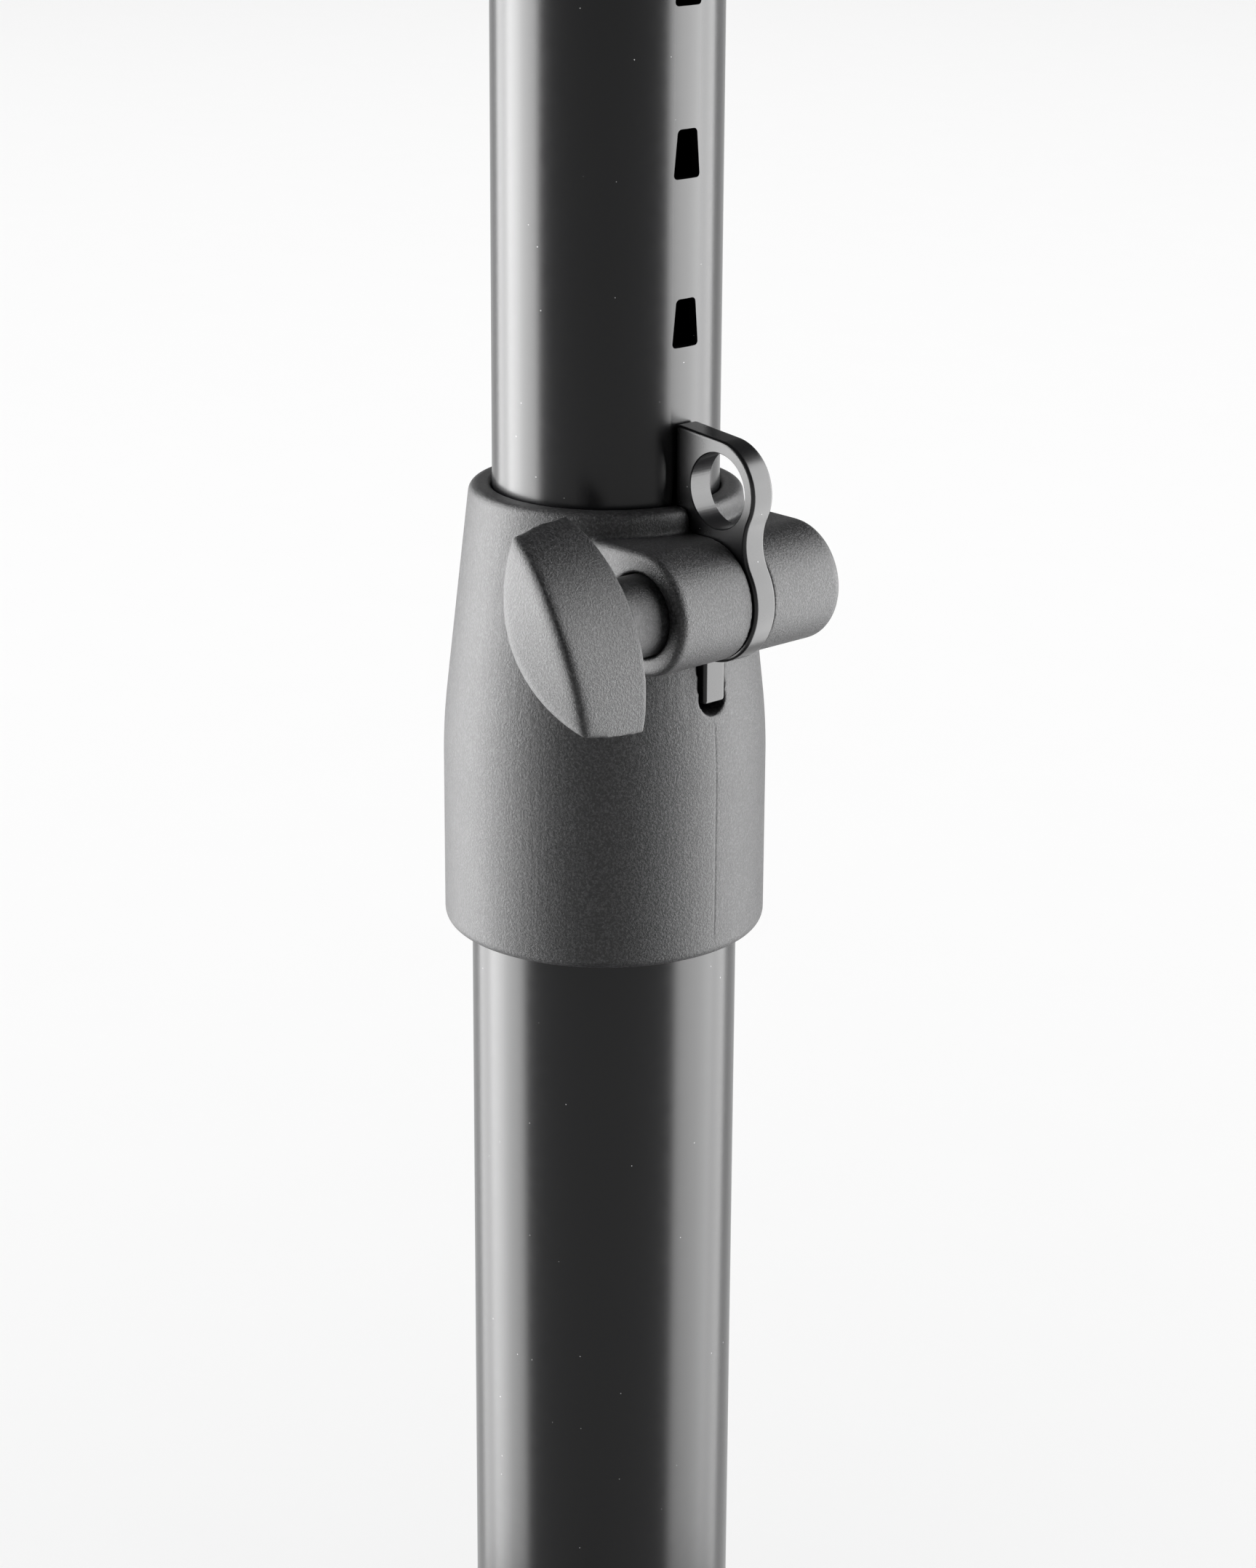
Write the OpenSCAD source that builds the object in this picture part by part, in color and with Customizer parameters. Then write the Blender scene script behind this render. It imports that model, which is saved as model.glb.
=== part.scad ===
// Desktop monitor speaker stand: flat base, telescopic column with a split clamp and a spring latch,
// and a tilting tray.
// The column stands along +Z. The origin is at the middle of the underside of the feet.
// The latch is on the +X side of the column, and the wing knob points towards -Y.

/* [Base] */
// Width of the base plate, along X
base_w = 220; // [180:5:320]
// Depth of the base plate, along Y
base_d = 250; // [200:5:340]
// Thickness of the base plate
base_t = 6; // [5:0.5:10]
// Corner radius of the base plate, seen from above
base_corner_r = 30; // [20:1:45]
// Rounding along the rim of the base plate
base_edge_r = 1.5; // [0.5:0.1:2]
// Height of the rubber feet
foot_h = 5; // [4:0.5:10]
// Diameter of the rubber feet
foot_d = 26; // [20:1:34]
// Distance from the sides of the base plate to the middle of a foot
foot_inset = 26; // [20:1:40]

/* [Column] */
// Outside diameter of the lower tube
outer_tube_d = 42; // [41:0.5:46]
// Length of the lower tube
outer_tube_l = 250; // [235:5:330]
// Outside diameter of the upper tube
inner_tube_d = 35; // [32:0.5:36]
// Length of the upper tube
inner_tube_l = 290; // [250:5:295]
// Wall of both tubes
tube_wall = 1.5; // [1:0.1:2]
// Width of a height notch at its upper edge
notch_top_w = 3.85; // [3.6:0.05:4.4]
// Width of a height notch at its lower edge
notch_bottom_w = 5.3; // [4.6:0.1:6]
// Height of a notch
notch_h = 7.3; // [6:0.1:9]
// Corner radius of a notch
notch_corner_r = 0.7; // [0.3:0.05:0.9]
// Distance from one notch to the next
notch_pitch = 25; // [20:1:28]
// Number of notches above, and also below, the one that the latch holds
notch_steps = 3; // [1:1:3]
// Height of the held notch's upper edge over the top of the clamp collar
notch_top_up = 5.95; // [5:0.05:7]
// Upper tube left bare between the top notch and the tilt head
bare_top_l = 10; // [8:0.5:20]
// Height of the turned plug in the foot of the lower tube
foot_plug_h = 22; // [18:1:24]

/* [Clamp collar] */
// Height of the collar
collar_h = 71; // [66:1:90]
// Wall round the upper tube, at the top of the collar
collar_top_wall = 3.6; // [3:0.1:4.5]
// Wall round the lower tube, at the collar's widest
collar_wall = 4.25; // [3.5:0.25:6]
// Taper of the collar's upper part, in degrees
collar_taper = 6.36; // [5:0.1:9]
// Radius of the curve that leads from the taper to the straight skirt
collar_blend_r = 105; // [60:5:140]
// Rounding of the collar's upper rim
collar_rim_r = 1.4; // [0.8:0.1:1.8]
// Rounding of the collar's lower rim
collar_foot_r = 2; // [1:0.1:3]
// Length of the lower tube inside the collar
collar_grip = 33.5; // [25:0.5:40]
// Radius of the clamp barrel
barrel_r = 9.4; // [8.8:0.1:10.5]
// Length of the clamp barrel, along Y
barrel_l = 33.5; // [30:0.5:44]
// Rounding of the barrel's ends
barrel_edge_r = 1.5; // [0.5:0.1:1.9]
// Distance from the upper tube's surface out to the barrel's axis
barrel_out = 8; // [7.6:0.1:10]
// Distance from the collar's top down to the barrel's axis
barrel_down = 12.95; // [11:0.05:16]
// Width of the split between the two halves of the barrel
split_w = 4.5; // [4.4:0.1:5.2]
// Width of the slot in the collar's wall
slot_w = 5.4; // [5.2:0.1:7]
// Radius of the recess in the barrel's front end
recess_r = 6.5; // [6.4:0.1:6.8]
// Depth of that recess
recess_depth = 6; // [5:0.5:7]

/* [Latch] */
// Thickness of the latch plate
latch_t = 4.2; // [3.4:0.1:4.2]
// Height of the finger hole's middle over the barrel's axis
ring_up = 16.65; // [16:0.05:19]
// Distance of the finger hole's middle outside the barrel's axis
ring_out = 1.2; // [0:0.1:3]
// Radius of the finger hole
ring_hole_r = 5.75; // [5:0.05:6.3]
// Width of the metal round the finger hole
ring_band = 1.95; // [1.5:0.05:2.6]
// Height of the latch's upper inner corner over the middle of the finger hole
latch_corner_up = 8.6; // [8:0.1:9.5]
// Radius of the hollow between the ring and the lobe
waist_r = 8; // [6:0.5:12]
// How far the lobe stands proud of the barrel
lobe_proud = 0.5; // [0:0.1:0.8]
// Thickness of the nose that goes into a notch
nose_t = 3; // [2.4:0.1:3.1]
// How far the nose reaches in past the upper tube's surface
nose_reach = 2.3; // [1.8:0.1:3]
// Height of the nose
nose_h = 4.6; // [3:0.1:5.2]
// Reach of the tail below the barrel's axis
tail_reach = 17.05; // [14:0.05:19]
// Distance from the barrel's axis to the tail's outer edge, towards the column
tail_in = 0.8; // [0.2:0.1:1.5]
// Angle by which the latch swings out, in degrees
latch_swing = 12; // [11:0.5:13]
// Wire diameter of the latch spring
spring_wire = 1; // [0.8:0.1:1.1]
// Mean radius of the latch spring
spring_r = 4.7; // [4.5:0.1:4.8]
// Turns of the latch spring
spring_turns = 3.5; // [2:0.5:3.5]

/* [Clamp screw] */
// Diameter of the clamp bolt
clamp_bolt_d = 6; // [5:0.5:6]
// Length of the wing across its inner face
wing_l = 34; // [28:0.1:36]
// Thickness of the wing in its middle
wing_t = 13.6; // [10:0.1:16]
// Depth of the wing at its tips, along Y
wing_depth = 10.7; // [8:0.1:14]
// How far the middle of the wing's outer face stands out past the tips
wing_dome = 3.35; // [1.5:0.05:4]
// Draft of the wing's faces, from the inner end to the tips of the outer end
wing_draft = 0.56; // [0.3:0.02:0.8]
// Lean of the wing at rest, in degrees from the horizontal
wing_lean = 120.2; // [90:0.1:150]
// Length of neck seen between the barrel and the wing
neck_l = 6.65; // [5:0.05:9]
// Gap between the wing's neck and the recess that it turns in
neck_gap = 0.3; // [0.2:0.05:0.5]

/* [Tilt head] */
// Outside diameter of the tilt head
head_d = 42; // [41:0.5:46]
// Depth of the head's socket for the upper tube
head_socket = 18; // [14:0.5:24]
// Thickness of the head's closed top
head_cap_t = 4; // [3:0.5:6]
// Height of the tilt axis over the head's cap
tilt_up = 13; // [12:0.5:18]
// Radius of the fork's ears, and of the tongue between them
ear_r = 10; // [9:0.5:11.5]
// Thickness of one ear
ear_t = 6; // [5:0.5:8]
// Thickness of the tongue between the ears
tongue_t = 18; // [12:0.5:20]
// Thickness of the friction washers beside the tongue
friction_t = 0.8; // [0.5:0.1:1.5]
// Diameter of the tilt bolt
tilt_bolt_d = 8; // [6:0.5:8]
// Radius of the tilt knob
tilt_knob_r = 17; // [15:0.5:19]
// Thickness of the tilt knob's grip
tilt_knob_t = 13; // [11:0.5:18]

/* [Tray] */
// Width of the tray, along X
tray_w = 190; // [150:5:260]
// Depth of the tray, along Y
tray_d = 230; // [180:5:300]
// Thickness of the tray's sheet
tray_t = 2.5; // [2:0.1:4]
// Height of the tray's turned-down rim, with the sheet
tray_rim_h = 11; // [7:0.5:16]
// Corner radius of the tray, seen from above
tray_corner_r = 22; // [15:1:35]
// Height of the tray's sheet over the tilt axis
tray_up = 26; // [23:0.5:34]
// Side of the square flange under the tray
flange_w = 70; // [60:1:90]
// Thickness of that flange
flange_t = 4; // [3.6:0.1:6]
// Length of a tray pad, along X
pad_l = 42; // [30:1:55]
// Width of a tray pad, along Y
pad_w = 24; // [16:1:34]
// Thickness of the tray pads
pad_t = 2.5; // [1.5:0.1:5]
// Distance from the tray's sides to the middle of a pad
pad_inset = 34; // [30:1:45]
// Corner radius of the tray pads
pad_corner_r = 6; // [3:0.5:7]
// Rounding of the tray pads' rims
pad_edge_r = 0.7; // [0.3:0.1:0.7]

/* [Fits] */
// Radial clearance of a tube in its guide
slide_gap = 0.08; // [0.03:0.01:0.1]
// Radial clearance of a pin or bolt that something turns on
pin_gap = 0.05; // [0.02:0.01:0.08]
// Clearance of a piece that is pressed or seated
seat_gap = 0.04; // [0.01:0.01:0.06]
// Clearance of pieces that pass each other freely
free_gap = 0.3; // [0.2:0.05:0.4]

/* [Hidden] */
$fn = 96;

// Colours of the finishes
coat_black = "#1c1c1e";
nylon_black = "#333335";
rubber_black = "#202021";
zinc_grey = "#b4b8bc";
screw_black = "#262628";
spring_grey = "#8e9195";
fibre_brown = "#5a4636";
brass_yellow = "#b8974f";

// Small play that lets a cut run clean past a face
past = 1;

// Radii of the tubes
outer_r = outer_tube_d / 2;
outer_bore_r = outer_r - tube_wall;
inner_r = inner_tube_d / 2;
inner_bore_r = inner_r - tube_wall;

// Heights of the fixed pieces, from the floor up
plate_z = foot_h;
plate_top_z = plate_z + base_t;
sleeve_flange_t = 1.5;
outer_top_z = plate_top_z + outer_tube_l;
collar_bottom_z = outer_top_z - collar_grip;
collar_z = collar_bottom_z + collar_h;
collar_step_z = outer_top_z + sleeve_flange_t;
pivot_x = inner_r + barrel_out;
pivot_z = collar_z - barrel_down;

// Heights of the pieces that slide
head_z = collar_z + notch_top_up + notch_steps * notch_pitch + bare_top_l;
inner_top_z = head_z + head_socket;
inner_bottom_z = inner_top_z - inner_tube_l;
head_top_z = inner_top_z + head_cap_t;
tilt_z = head_top_z + tilt_up;
sheet_z = tilt_z + tray_up;
tray_top_z = sheet_z + tray_t;

// Screws and washers, by their usual sizes for the bolts above
foot_bolt_r = 2;
foot_head_r = 3.8;
foot_head_h = 2.4;
foot_head_edge_r = 0.6;
foot_key_w = 2.5;
foot_key_depth = 1.4;
foot_seat = 2.8;
foot_edge_r = 1;
foot_screw_short = 0.5;
base_bolt_r = 5;
base_head_r = 9.5;
base_bolt_l = 24;
base_key_w = 6;
base_key_depth = 3;
grub_r = 2.5;
grub_key_w = 2.5;
grub_key_depth = 1.8;
grub_seat = 0.4;
grub_sink = 0.3;
collar_screw_r = 1.75;
collar_screw_head_r = 3.4;
collar_key_w = 2;
collar_key_depth = 1.2;
tray_bolt_r = 2.5;
tray_head_r = 4.8;
tray_key_w = 3;
tray_key_depth = 1.8;
tray_bolt_inset = 11;
clamp_bolt_r = clamp_bolt_d / 2;
clamp_nut_w = 10;
clamp_nut_t = 5;
clamp_washer_r = 6.2;
clamp_washer_t = 1.2;
tilt_bolt_r = tilt_bolt_d / 2;
tilt_head_w = 13;
tilt_head_h = 5.3;
tilt_seat = 3;
tilt_washer_r = 8;
tilt_washer_t = 1.6;
insert_r = 6;
insert_l = 12;

// Sleeve, glide ring and foot plug of the tubes
sleeve_l = 40;
glide_flange_t = 6;
glide_plug_l = 14;
glide_wall = 3;
foot_thread_depth = 20;
plug_chamfer = 2;

// Collar
bore_r = inner_r + slide_gap;
socket_r = outer_r + seat_gap;
collar_top_r = bore_r + collar_top_wall;
collar_r = socket_r + collar_wall;
slot_bottom_gap = 2;
slot_end_z = -barrel_down - tail_reach - slot_bottom_gap;
spring_pocket_r = 6.4;
spring_pocket_depth = 6.5;
spring_hole_depth = 1.5;
nut_play = 0.1;
lead_in = 0.5;
collar_screw_down = 55;

// Latch outline, in the plane of its plate, with the barrel's axis as its origin
latch_play = 0.2;
latch_edge_x = latch_play - barrel_out;
latch_top_y = ring_up + latch_corner_up;
lobe_r = barrel_r + lobe_proud;
ring_r = ring_hole_r + ring_band;
ring_c = [ring_out, ring_up];
nose_arc_r = norm([-barrel_out, barrel_down + notch_top_up]) - latch_play;
nose_root = 2;
tail_slope = tan(latch_swing + 2);
spring_hole_r = spring_wire / 2 + 0.4;
spring_leg_angle = 215;
spring_latch_leg = 2.6;
spring_collar_leg = 1.6;
spring_pitch = 1.4 * spring_wire;

// Wing
neck_r = recess_r - neck_gap;
wing_inner = barrel_l / 2 + neck_l;
wing_tip = wing_inner + wing_depth;
wing_face_r = (pow(wing_l / 2, 2) + pow(wing_t / 2, 2)) / wing_t;
wing_dome_r = (pow(wing_l / 2, 2) + pow(wing_dome, 2)) / (2 * wing_dome);
washer_at = barrel_l / 2 - recess_depth;

// Tilt joint
fork_half = tongue_t / 2 + friction_t + 2 * pin_gap;
ear_face = fork_half + ear_t;
knob_at = ear_face + tilt_washer_t + pin_gap;
knob_hub_l = 4;
knob_hub_r = 9;
knob_edge_r = 2;
knob_lobes = 5;
knob_scoop_r = 7;
knob_scoop_out = 4;

// Tray bracket
flange_corner_r = 8;
tongue_top_half = flange_w / 3;

function unit(v) = v / norm(v);
function quarter_turn(v) = [v[1], -v[0]];
function arc(c, r, a0, a1, n) =
    [for (i = [0:n]) c + r * [cos(a0 + (a1 - a0) * i / n), sin(a0 + (a1 - a0) * i / n)]];
// Middle of a circle of radius r that touches two other circles from outside
function touching(c1, r1, c2, r2, r) =
    let (d = norm(c2 - c1), u = (c2 - c1) / d, p = r1 + r, q = r2 + r,
         a = (p * p - q * q + d * d) / (2 * d))
    c1 + a * u - sqrt(p * p - a * a) * quarter_turn(u);
// Point where a line from p touches a circle, on its left as seen from p
function tangent_point(p, c, r) =
    let (d = norm(c - p), a = asin(r / d), u = unit(c - p), l = sqrt(d * d - r * r))
    p + l * [u[0] * cos(a) - u[1] * sin(a), u[0] * sin(a) + u[1] * cos(a)];

// Rectangle with round corners
module round_rect(w, d, r) {
    square([w - 2 * r, d], center = true);
    square([w, d - 2 * r], center = true);
    for (x = [-1, 1], y = [-1, 1])
        translate([x * (w / 2 - r), y * (d / 2 - r)]) circle(r);
}

// Disc on z = 0 with both rims rounded
module puck(r, h, edge) {
    rotate_extrude() {
        square([r - edge, h]);
        translate([0, edge]) square([r, h - 2 * edge]);
        for (z = [edge, h - edge]) translate([r - edge, z]) circle(edge);
    }
}

// Plate on z = 0 with round corners and rounded rims
module round_plate(w, d, t, corner, edge) {
    for (x = [-1, 1], y = [-1, 1])
        translate([x * (w / 2 - corner), y * (d / 2 - corner), 0]) puck(corner, t, edge);
    translate([0, 0, t / 2]) {
        rotate([90, 0, 90]) linear_extrude(w - 2 * corner, center = true) round_rect(d, t, edge);
        rotate([90, 0, 0]) linear_extrude(d - 2 * corner, center = true) round_rect(w, t, edge);
    }
}

// Convex outline with every corner rounded; the points are the middles of the corner arcs,
// in clockwise order
module soft_polygon(points, r) {
    n = len(points);
    polygon([for (i = [0:n - 1])
        let (a = points[i], b = points[(i + 1) % n], side = -r * quarter_turn(unit(b - a)))
        each [a + side, b + side]]);
    for (p = points) translate(p) circle(r);
}

// Flat-headed screw with its head's flat side on z = 0, shank down
module sunk_screw(r, head_r, l, key_w, key_depth) {
    difference() {
        union() {
            translate([0, 0, -l]) cylinder(r = r, h = l);
            translate([0, 0, r - head_r]) cylinder(r1 = r, r2 = head_r, h = head_r - r);
        }
        hex_key(key_w, key_depth);
    }
}

// Six-sided socket cut down from z = 0
module hex_key(w, depth) {
    translate([0, 0, -depth]) cylinder(r = w / 2 / cos(30), h = depth + past, $fn = 6);
}

// Hole for a flat-headed screw whose head ends at z = 0
module sunk_hole(r, head_r, l, gap) {
    translate([0, 0, -l]) cylinder(r = r + gap, h = l + past);
    translate([0, 0, r - head_r]) cylinder(r1 = r + gap, r2 = head_r + gap, h = head_r - r);
    cylinder(r = head_r + gap, h = past);
}

// Places what follows with its z axis along the barrel, pointing out at the wing knob,
// and its y axis up
module on_barrel() {
    translate([pivot_x, 0, pivot_z]) rotate([90, 0, 0]) children();
}

// Places what follows with its z axis along the tilt bolt, pointing at the tilt knob
module on_tilt() {
    translate([0, 0, tilt_z]) rotate([90, 0, 90]) children();
}

module at_feet() {
    for (x = [-1, 1], y = [-1, 1])
        translate([x * (base_w / 2 - foot_inset), y * (base_d / 2 - foot_inset), 0]) children();
}

module at_tray_bolts() {
    for (x = [-1, 1], y = [-1, 1])
        translate([x, y, 0] * (flange_w / 2 - tray_bolt_inset)) children();
}

// Steel slab that carries the column
module base_plate() {
    color(coat_black) difference() {
        translate([0, 0, plate_z]) round_plate(base_w, base_d, base_t, base_corner_r, base_edge_r);
        translate([0, 0, plate_z]) mirror([0, 0, 1])
            sunk_hole(base_bolt_r, base_head_r, base_t + past, seat_gap);
        at_feet() translate([0, 0, plate_z - past])
            cylinder(r = foot_bolt_r + seat_gap, h = base_t + 2 * past);
    }
}

// Four rubber feet, each recessed for its screw
module base_feet() {
    color(rubber_black) at_feet() difference() {
        puck(foot_d / 2, foot_h, foot_edge_r);
        translate([0, 0, -past]) cylinder(r = foot_head_r + free_gap, h = foot_seat + past);
        cylinder(r = foot_bolt_r + seat_gap, h = foot_h + past);
    }
}

// Pan-headed screws that hold the feet
module foot_screws() {
    color(zinc_grey) at_feet() translate([0, 0, foot_seat]) difference() {
        union() {
            translate([0, 0, -foot_head_h]) puck(foot_head_r, foot_head_h, foot_head_edge_r);
            cylinder(r = foot_bolt_r, h = foot_h - foot_seat + base_t - foot_screw_short);
        }
        translate([0, 0, -foot_head_h]) mirror([0, 0, 1]) hex_key(foot_key_w, foot_key_depth);
    }
}

// Turned plug pressed into the foot of the lower tube, tapped for the base bolt
module column_foot_plug() {
    r = outer_bore_r - seat_gap;
    color(zinc_grey) translate([0, 0, plate_top_z]) difference() {
        rotate_extrude() polygon([[0, 0], [r - lead_in, 0], [r, lead_in],
            [r, foot_plug_h - plug_chamfer], [r - plug_chamfer, foot_plug_h], [0, foot_plug_h]]);
        translate([0, 0, -past]) cylinder(r = base_bolt_r + seat_gap, h = foot_thread_depth + past);
    }
}

// Flat-headed bolt up through the base plate into the plug
module base_bolt() {
    color(zinc_grey) translate([0, 0, plate_z]) mirror([0, 0, 1])
        sunk_screw(base_bolt_r, base_head_r, base_bolt_l, base_key_w, base_key_depth);
}

module outer_tube() {
    color(coat_black) difference() {
        translate([0, 0, plate_top_z]) cylinder(r = outer_r, h = outer_tube_l);
        translate([0, 0, plate_top_z - past]) cylinder(r = outer_bore_r, h = outer_tube_l + 2 * past);
        collar_screw_place() cylinder(r = collar_screw_r + seat_gap, h = collar_r);
    }
}

// Plastic sleeve that guides the upper tube inside the lower one
module guide_sleeve() {
    color(nylon_black) difference() {
        union() {
            translate([0, 0, outer_top_z - sleeve_l])
                cylinder(r = outer_bore_r - seat_gap, h = sleeve_l + sleeve_flange_t / 2);
            translate([0, 0, outer_top_z]) cylinder(r = outer_r, h = sleeve_flange_t);
        }
        translate([0, 0, outer_top_z - sleeve_l - past])
            cylinder(r = bore_r, h = sleeve_l + sleeve_flange_t + 2 * past);
    }
}

// Places what follows on the back of the collar with its z axis pointing in at the column
module collar_screw_place() {
    translate([-collar_r, 0, collar_z - collar_screw_down]) rotate([0, 90, 0]) children();
}

// Outline of the collar, turned about the column: rounded rim, tapered upper part that blends
// into a straight skirt, and rounded foot. Height 0 is the top of the collar.
function collar_outline() =
    let (rim = [collar_top_r - collar_rim_r, -collar_rim_r],
         rim_end = rim + collar_rim_r * [cos(collar_taper), sin(collar_taper)],
         blend_x = collar_r - collar_blend_r * (1 - cos(collar_taper)),
         blend_y = rim_end[1] - (blend_x - rim_end[0]) / tan(collar_taper),
         blend = [collar_r - collar_blend_r, blend_y - collar_blend_r * sin(collar_taper)],
         foot = [collar_r - collar_foot_r, collar_foot_r - collar_h])
    concat([[0, 0]], arc(rim, collar_rim_r, 90, collar_taper, 6),
        arc(blend, collar_blend_r, collar_taper, 0, 8), arc(foot, collar_foot_r, 0, -90, 6),
        [[0, -collar_h]]);

// Split clamp: it grips the lower tube for good, and squeezes the upper tube when the bolt
// pulls the two halves of its barrel together
module clamp_collar() {
    color(nylon_black) difference() {
        union() {
            translate([0, 0, collar_z]) rotate_extrude() polygon(collar_outline());
            on_barrel() translate([0, 0, -barrel_l / 2]) puck(barrel_r, barrel_l, barrel_edge_r);
            translate([pivot_x / 2, 0, pivot_z]) rotate([90, 0, 90])
                linear_extrude(pivot_x, center = true)
                    round_rect(barrel_l, 2 * barrel_r, barrel_edge_r);
        }
        translate([0, 0, collar_bottom_z - past])
            cylinder(r = socket_r, h = collar_step_z - collar_bottom_z + past);
        translate([0, 0, collar_bottom_z - lead_in])
            cylinder(r1 = socket_r + 2 * lead_in, r2 = socket_r, h = 2 * lead_in);
        translate([0, 0, collar_step_z - past]) cylinder(r = bore_r, h = collar_h);
        translate([0, 0, collar_z - lead_in])
            cylinder(r1 = bore_r, r2 = bore_r + 2 * lead_in, h = 2 * lead_in);
        collar_slot();
        on_barrel() {
            cylinder(r = clamp_bolt_r + free_gap, h = barrel_l + 2 * past, center = true);
            translate([0, 0, washer_at]) cylinder(r = recess_r, h = recess_depth + past);
            translate([0, 0, -split_w / 2 - spring_pocket_depth])
                cylinder(r = spring_pocket_r, h = spring_pocket_depth + past);
            translate([0, 0, -barrel_l / 2 - past]) cylinder(r = (clamp_nut_w + nut_play) / 2 / cos(30),
                h = clamp_nut_t + nut_play + past, $fn = 6);
            rotate([0, 0, spring_leg_angle + 360 * spring_turns])
                translate([spring_r, 0, -split_w / 2 - spring_pocket_depth - spring_hole_depth])
                    cylinder(r = spring_hole_r, h = spring_hole_depth + past);
        }
        collar_screw_place() mirror([0, 0, 1])
            sunk_hole(collar_screw_r, collar_screw_head_r, collar_r, seat_gap);
    }
}

// The split between the barrel's halves and through the wall above them, and the wider slot
// in the wall below the barrel, with a round end
module collar_slot() {
    reach = collar_r + 2 * barrel_r;
    translate([bore_r / 2, -split_w / 2, pivot_z - barrel_r - past])
        cube([reach, split_w, barrel_r + barrel_down + 2 * past]);
    translate([0, 0, collar_z]) rotate([90, 0, 90]) linear_extrude(reach) {
        translate([-slot_w / 2, slot_end_z + slot_w / 2])
            square([slot_w, -barrel_down - barrel_r - slot_end_z - slot_w / 2]);
        translate([0, slot_end_z + slot_w / 2]) circle(slot_w / 2);
    }
}

// Screw at the back that keeps the collar on the lower tube
module collar_screw() {
    color(screw_black) collar_screw_place() mirror([0, 0, 1])
        sunk_screw(collar_screw_r, collar_screw_head_r, collar_r - outer_bore_r - nut_play,
            collar_key_w, collar_key_depth);
}

// Nut held in the barrel's rear end
module clamp_nut() {
    color(zinc_grey) on_barrel() translate([0, 0, nut_play - barrel_l / 2]) difference() {
        cylinder(r = clamp_nut_w / 2 / cos(30), h = clamp_nut_t, $fn = 6);
        translate([0, 0, -past]) cylinder(r = clamp_bolt_r + pin_gap, h = clamp_nut_t + 2 * past);
    }
}

// Washer that the wing's neck presses on
module thrust_washer() {
    color(screw_black) on_barrel() translate([0, 0, washer_at]) difference() {
        cylinder(r = clamp_washer_r, h = clamp_washer_t);
        translate([0, 0, -past]) cylinder(r = clamp_bolt_r + free_gap, h = clamp_washer_t + 2 * past);
    }
}

// Middle line of the latch spring, as angle and place along the barrel's axis: a leg in the
// latch, the turns, and a leg in the collar
function spring_line() =
    let (steps = 12, start = -split_w / 2 - spring_wire, last = start - spring_pitch * spring_turns)
    concat([[0, start + spring_latch_leg]],
        [for (i = [0:steps * spring_turns]) [i * 360 / steps, start - spring_pitch * i / steps]],
        [[360 * spring_turns, last - spring_collar_leg]]);

// Torsion spring that swings the latch back in, coiled round the bolt in the collar's pocket
module latch_spring() {
    line = spring_line();
    path = [for (p = line) let (a = p[0] + spring_leg_angle)
        [spring_r * cos(a), spring_r * sin(a), p[1]]];
    n = len(path);
    sides = 8;
    rings = [for (i = [0:n - 1])
        let (along = unit(path[min(i + 1, n - 1)] - path[max(i - 1, 0)]),
             out = unit([path[i][0], path[i][1], 0]), across = cross(along, out))
        for (k = [0:sides - 1]) let (a = 360 * k / sides)
            path[i] + spring_wire / 2 * (out * cos(a) + across * sin(a))];
    walls = [for (i = [0:n - 2], k = [0:sides - 1])
        let (a = i * sides + k, b = i * sides + (k + 1) % sides)
        each [[a, b, a + sides], [b, b + sides, a + sides]]];
    start_cap = [for (k = [1:sides - 2]) [0, k + 1, k]];
    end_cap = [for (k = [1:sides - 2]) (n - 1) * sides * [1, 1, 1] + [0, k, k + 1]];
    color(spring_grey) on_barrel()
        polyhedron(points = rings, faces = concat(walls, start_cap, end_cap));
}

// Side of the latch: finger ring, hollow waist, lobe a little larger than the barrel, and tail
module latch_side() {
    waist = touching(ring_c, ring_r, [0, 0], lobe_r, waist_r);
    corner = [latch_edge_x, latch_top_y];
    foot_x = latch_edge_x + tail_slope * tail_reach;
    intersection() {
        difference() {
            union() {
                circle(lobe_r);
                translate(ring_c) circle(ring_r);
                polygon([corner, tangent_point(corner, ring_c, ring_r), ring_c,
                    ring_c + ring_r * unit(waist - ring_c), lobe_r * unit(waist),
                    [-tail_in, -barrel_r / 2], [-tail_in, -tail_reach], [foot_x, -tail_reach],
                    [latch_edge_x, 0]]);
            }
            translate(waist) circle(waist_r);
        }
        polygon([[latch_edge_x, 0], corner, [latch_edge_x, 2 * latch_top_y],
            [latch_top_y, 2 * latch_top_y], [latch_top_y, -tail_reach], [foot_x, -tail_reach]]);
    }
}

// Side of the nose: its top is an arc about the barrel's axis, so that it leaves the notch
// without lifting the tube
module nose_side() {
    tip_x = -barrel_out - nose_reach;
    low = sqrt(pow(nose_arc_r, 2) - pow(barrel_out, 2)) - nose_h;
    intersection() {
        circle(nose_arc_r);
        translate([tip_x, low]) square([latch_edge_x + nose_root - tip_x, nose_arc_r]);
    }
}

// Latch that holds the upper tube by one of its notches and swings out on the clamp bolt
module latch_lever() {
    color(coat_black) on_barrel() difference() {
        union() {
            linear_extrude(latch_t, center = true) latch_side();
            linear_extrude(nose_t, center = true) nose_side();
        }
        cylinder(r = clamp_bolt_r + pin_gap, h = latch_t + 2 * past, center = true);
        translate(ring_c) cylinder(r = ring_hole_r, h = latch_t + 2 * past, center = true);
        rotate([0, 0, spring_leg_angle]) translate([spring_r, 0, 0])
            cylinder(r = spring_hole_r, h = latch_t + past, center = true);
    }
}

// Stud moulded into the wing knob
module clamp_bolt() {
    color(zinc_grey) on_barrel() translate([0, 0, -barrel_l / 2 + lead_in])
        cylinder(r = clamp_bolt_r, h = barrel_l + neck_l + wing_depth / 2);
}

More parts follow.
